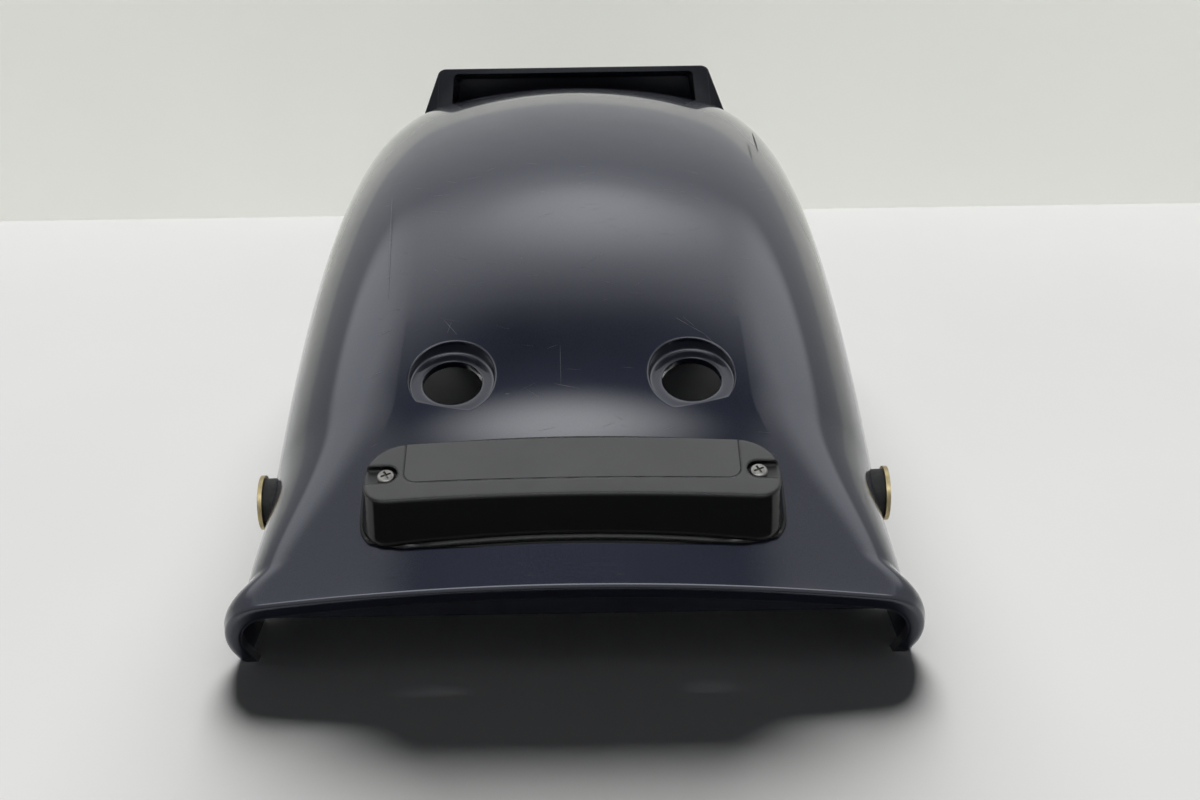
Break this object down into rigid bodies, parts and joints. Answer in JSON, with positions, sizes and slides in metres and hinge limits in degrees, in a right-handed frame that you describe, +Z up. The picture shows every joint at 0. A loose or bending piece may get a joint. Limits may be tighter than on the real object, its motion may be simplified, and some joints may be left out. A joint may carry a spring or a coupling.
{
  "type": "motorcycle rear fender",
  "caption": "Arched rear section of a motorcycle fender with a rolled lip, a plate light, recessed bracket seats, a low hood at the front edge and side mounting collars.",
  "frame": {"origin": "centre of the bounding box of the part as it lies, on the floor it rests on", "axes": "+X to the right, +Y from the rear lip towards the front edge with the hood, +Z up"},
  "size_m": [0.272, 0.4016, 0.15],
  "materials": {
    "navy_paint": "dark navy metallic lacquer on moulded plastic, lightly scratched",
    "lamp_black": "satin black moulded plastic",
    "lens_smoke": "dark smoked plastic lens, satin",
    "black_rubber": "soft black rubber",
    "zinc_steel": "bright zinc-plated steel",
    "yellow_zinc": "yellow zinc-plated steel",
    "bulb_glass": "clear glass",
    "bulb_brass": "plain brass",
    "socket_plastic": "matte dark plastic"
  },
  "bodies": {
    "root": {"fender_shell": "navy_paint", "light_gasket": "black_rubber", "light_base": "lamp_black", "light_cover": "lamp_black", "light_lens": "lens_smoke", "cover_screws": "zinc_steel", "light_washers": "zinc_steel", "light_nuts": "zinc_steel", "wire_grommet": "black_rubber", "bulb_glass_left": "bulb_glass", "bulb_glass_right": "bulb_glass", "bulb_cap_left": "bulb_brass", "bulb_cap_right": "bulb_brass", "bulb_socket_left": "socket_plastic", "bulb_socket_right": "socket_plastic", "side_grommet_left": "black_rubber", "side_grommet_right": "black_rubber", "side_collar_left": "yellow_zinc", "side_collar_right": "yellow_zinc"}
  },
  "joints": []
}
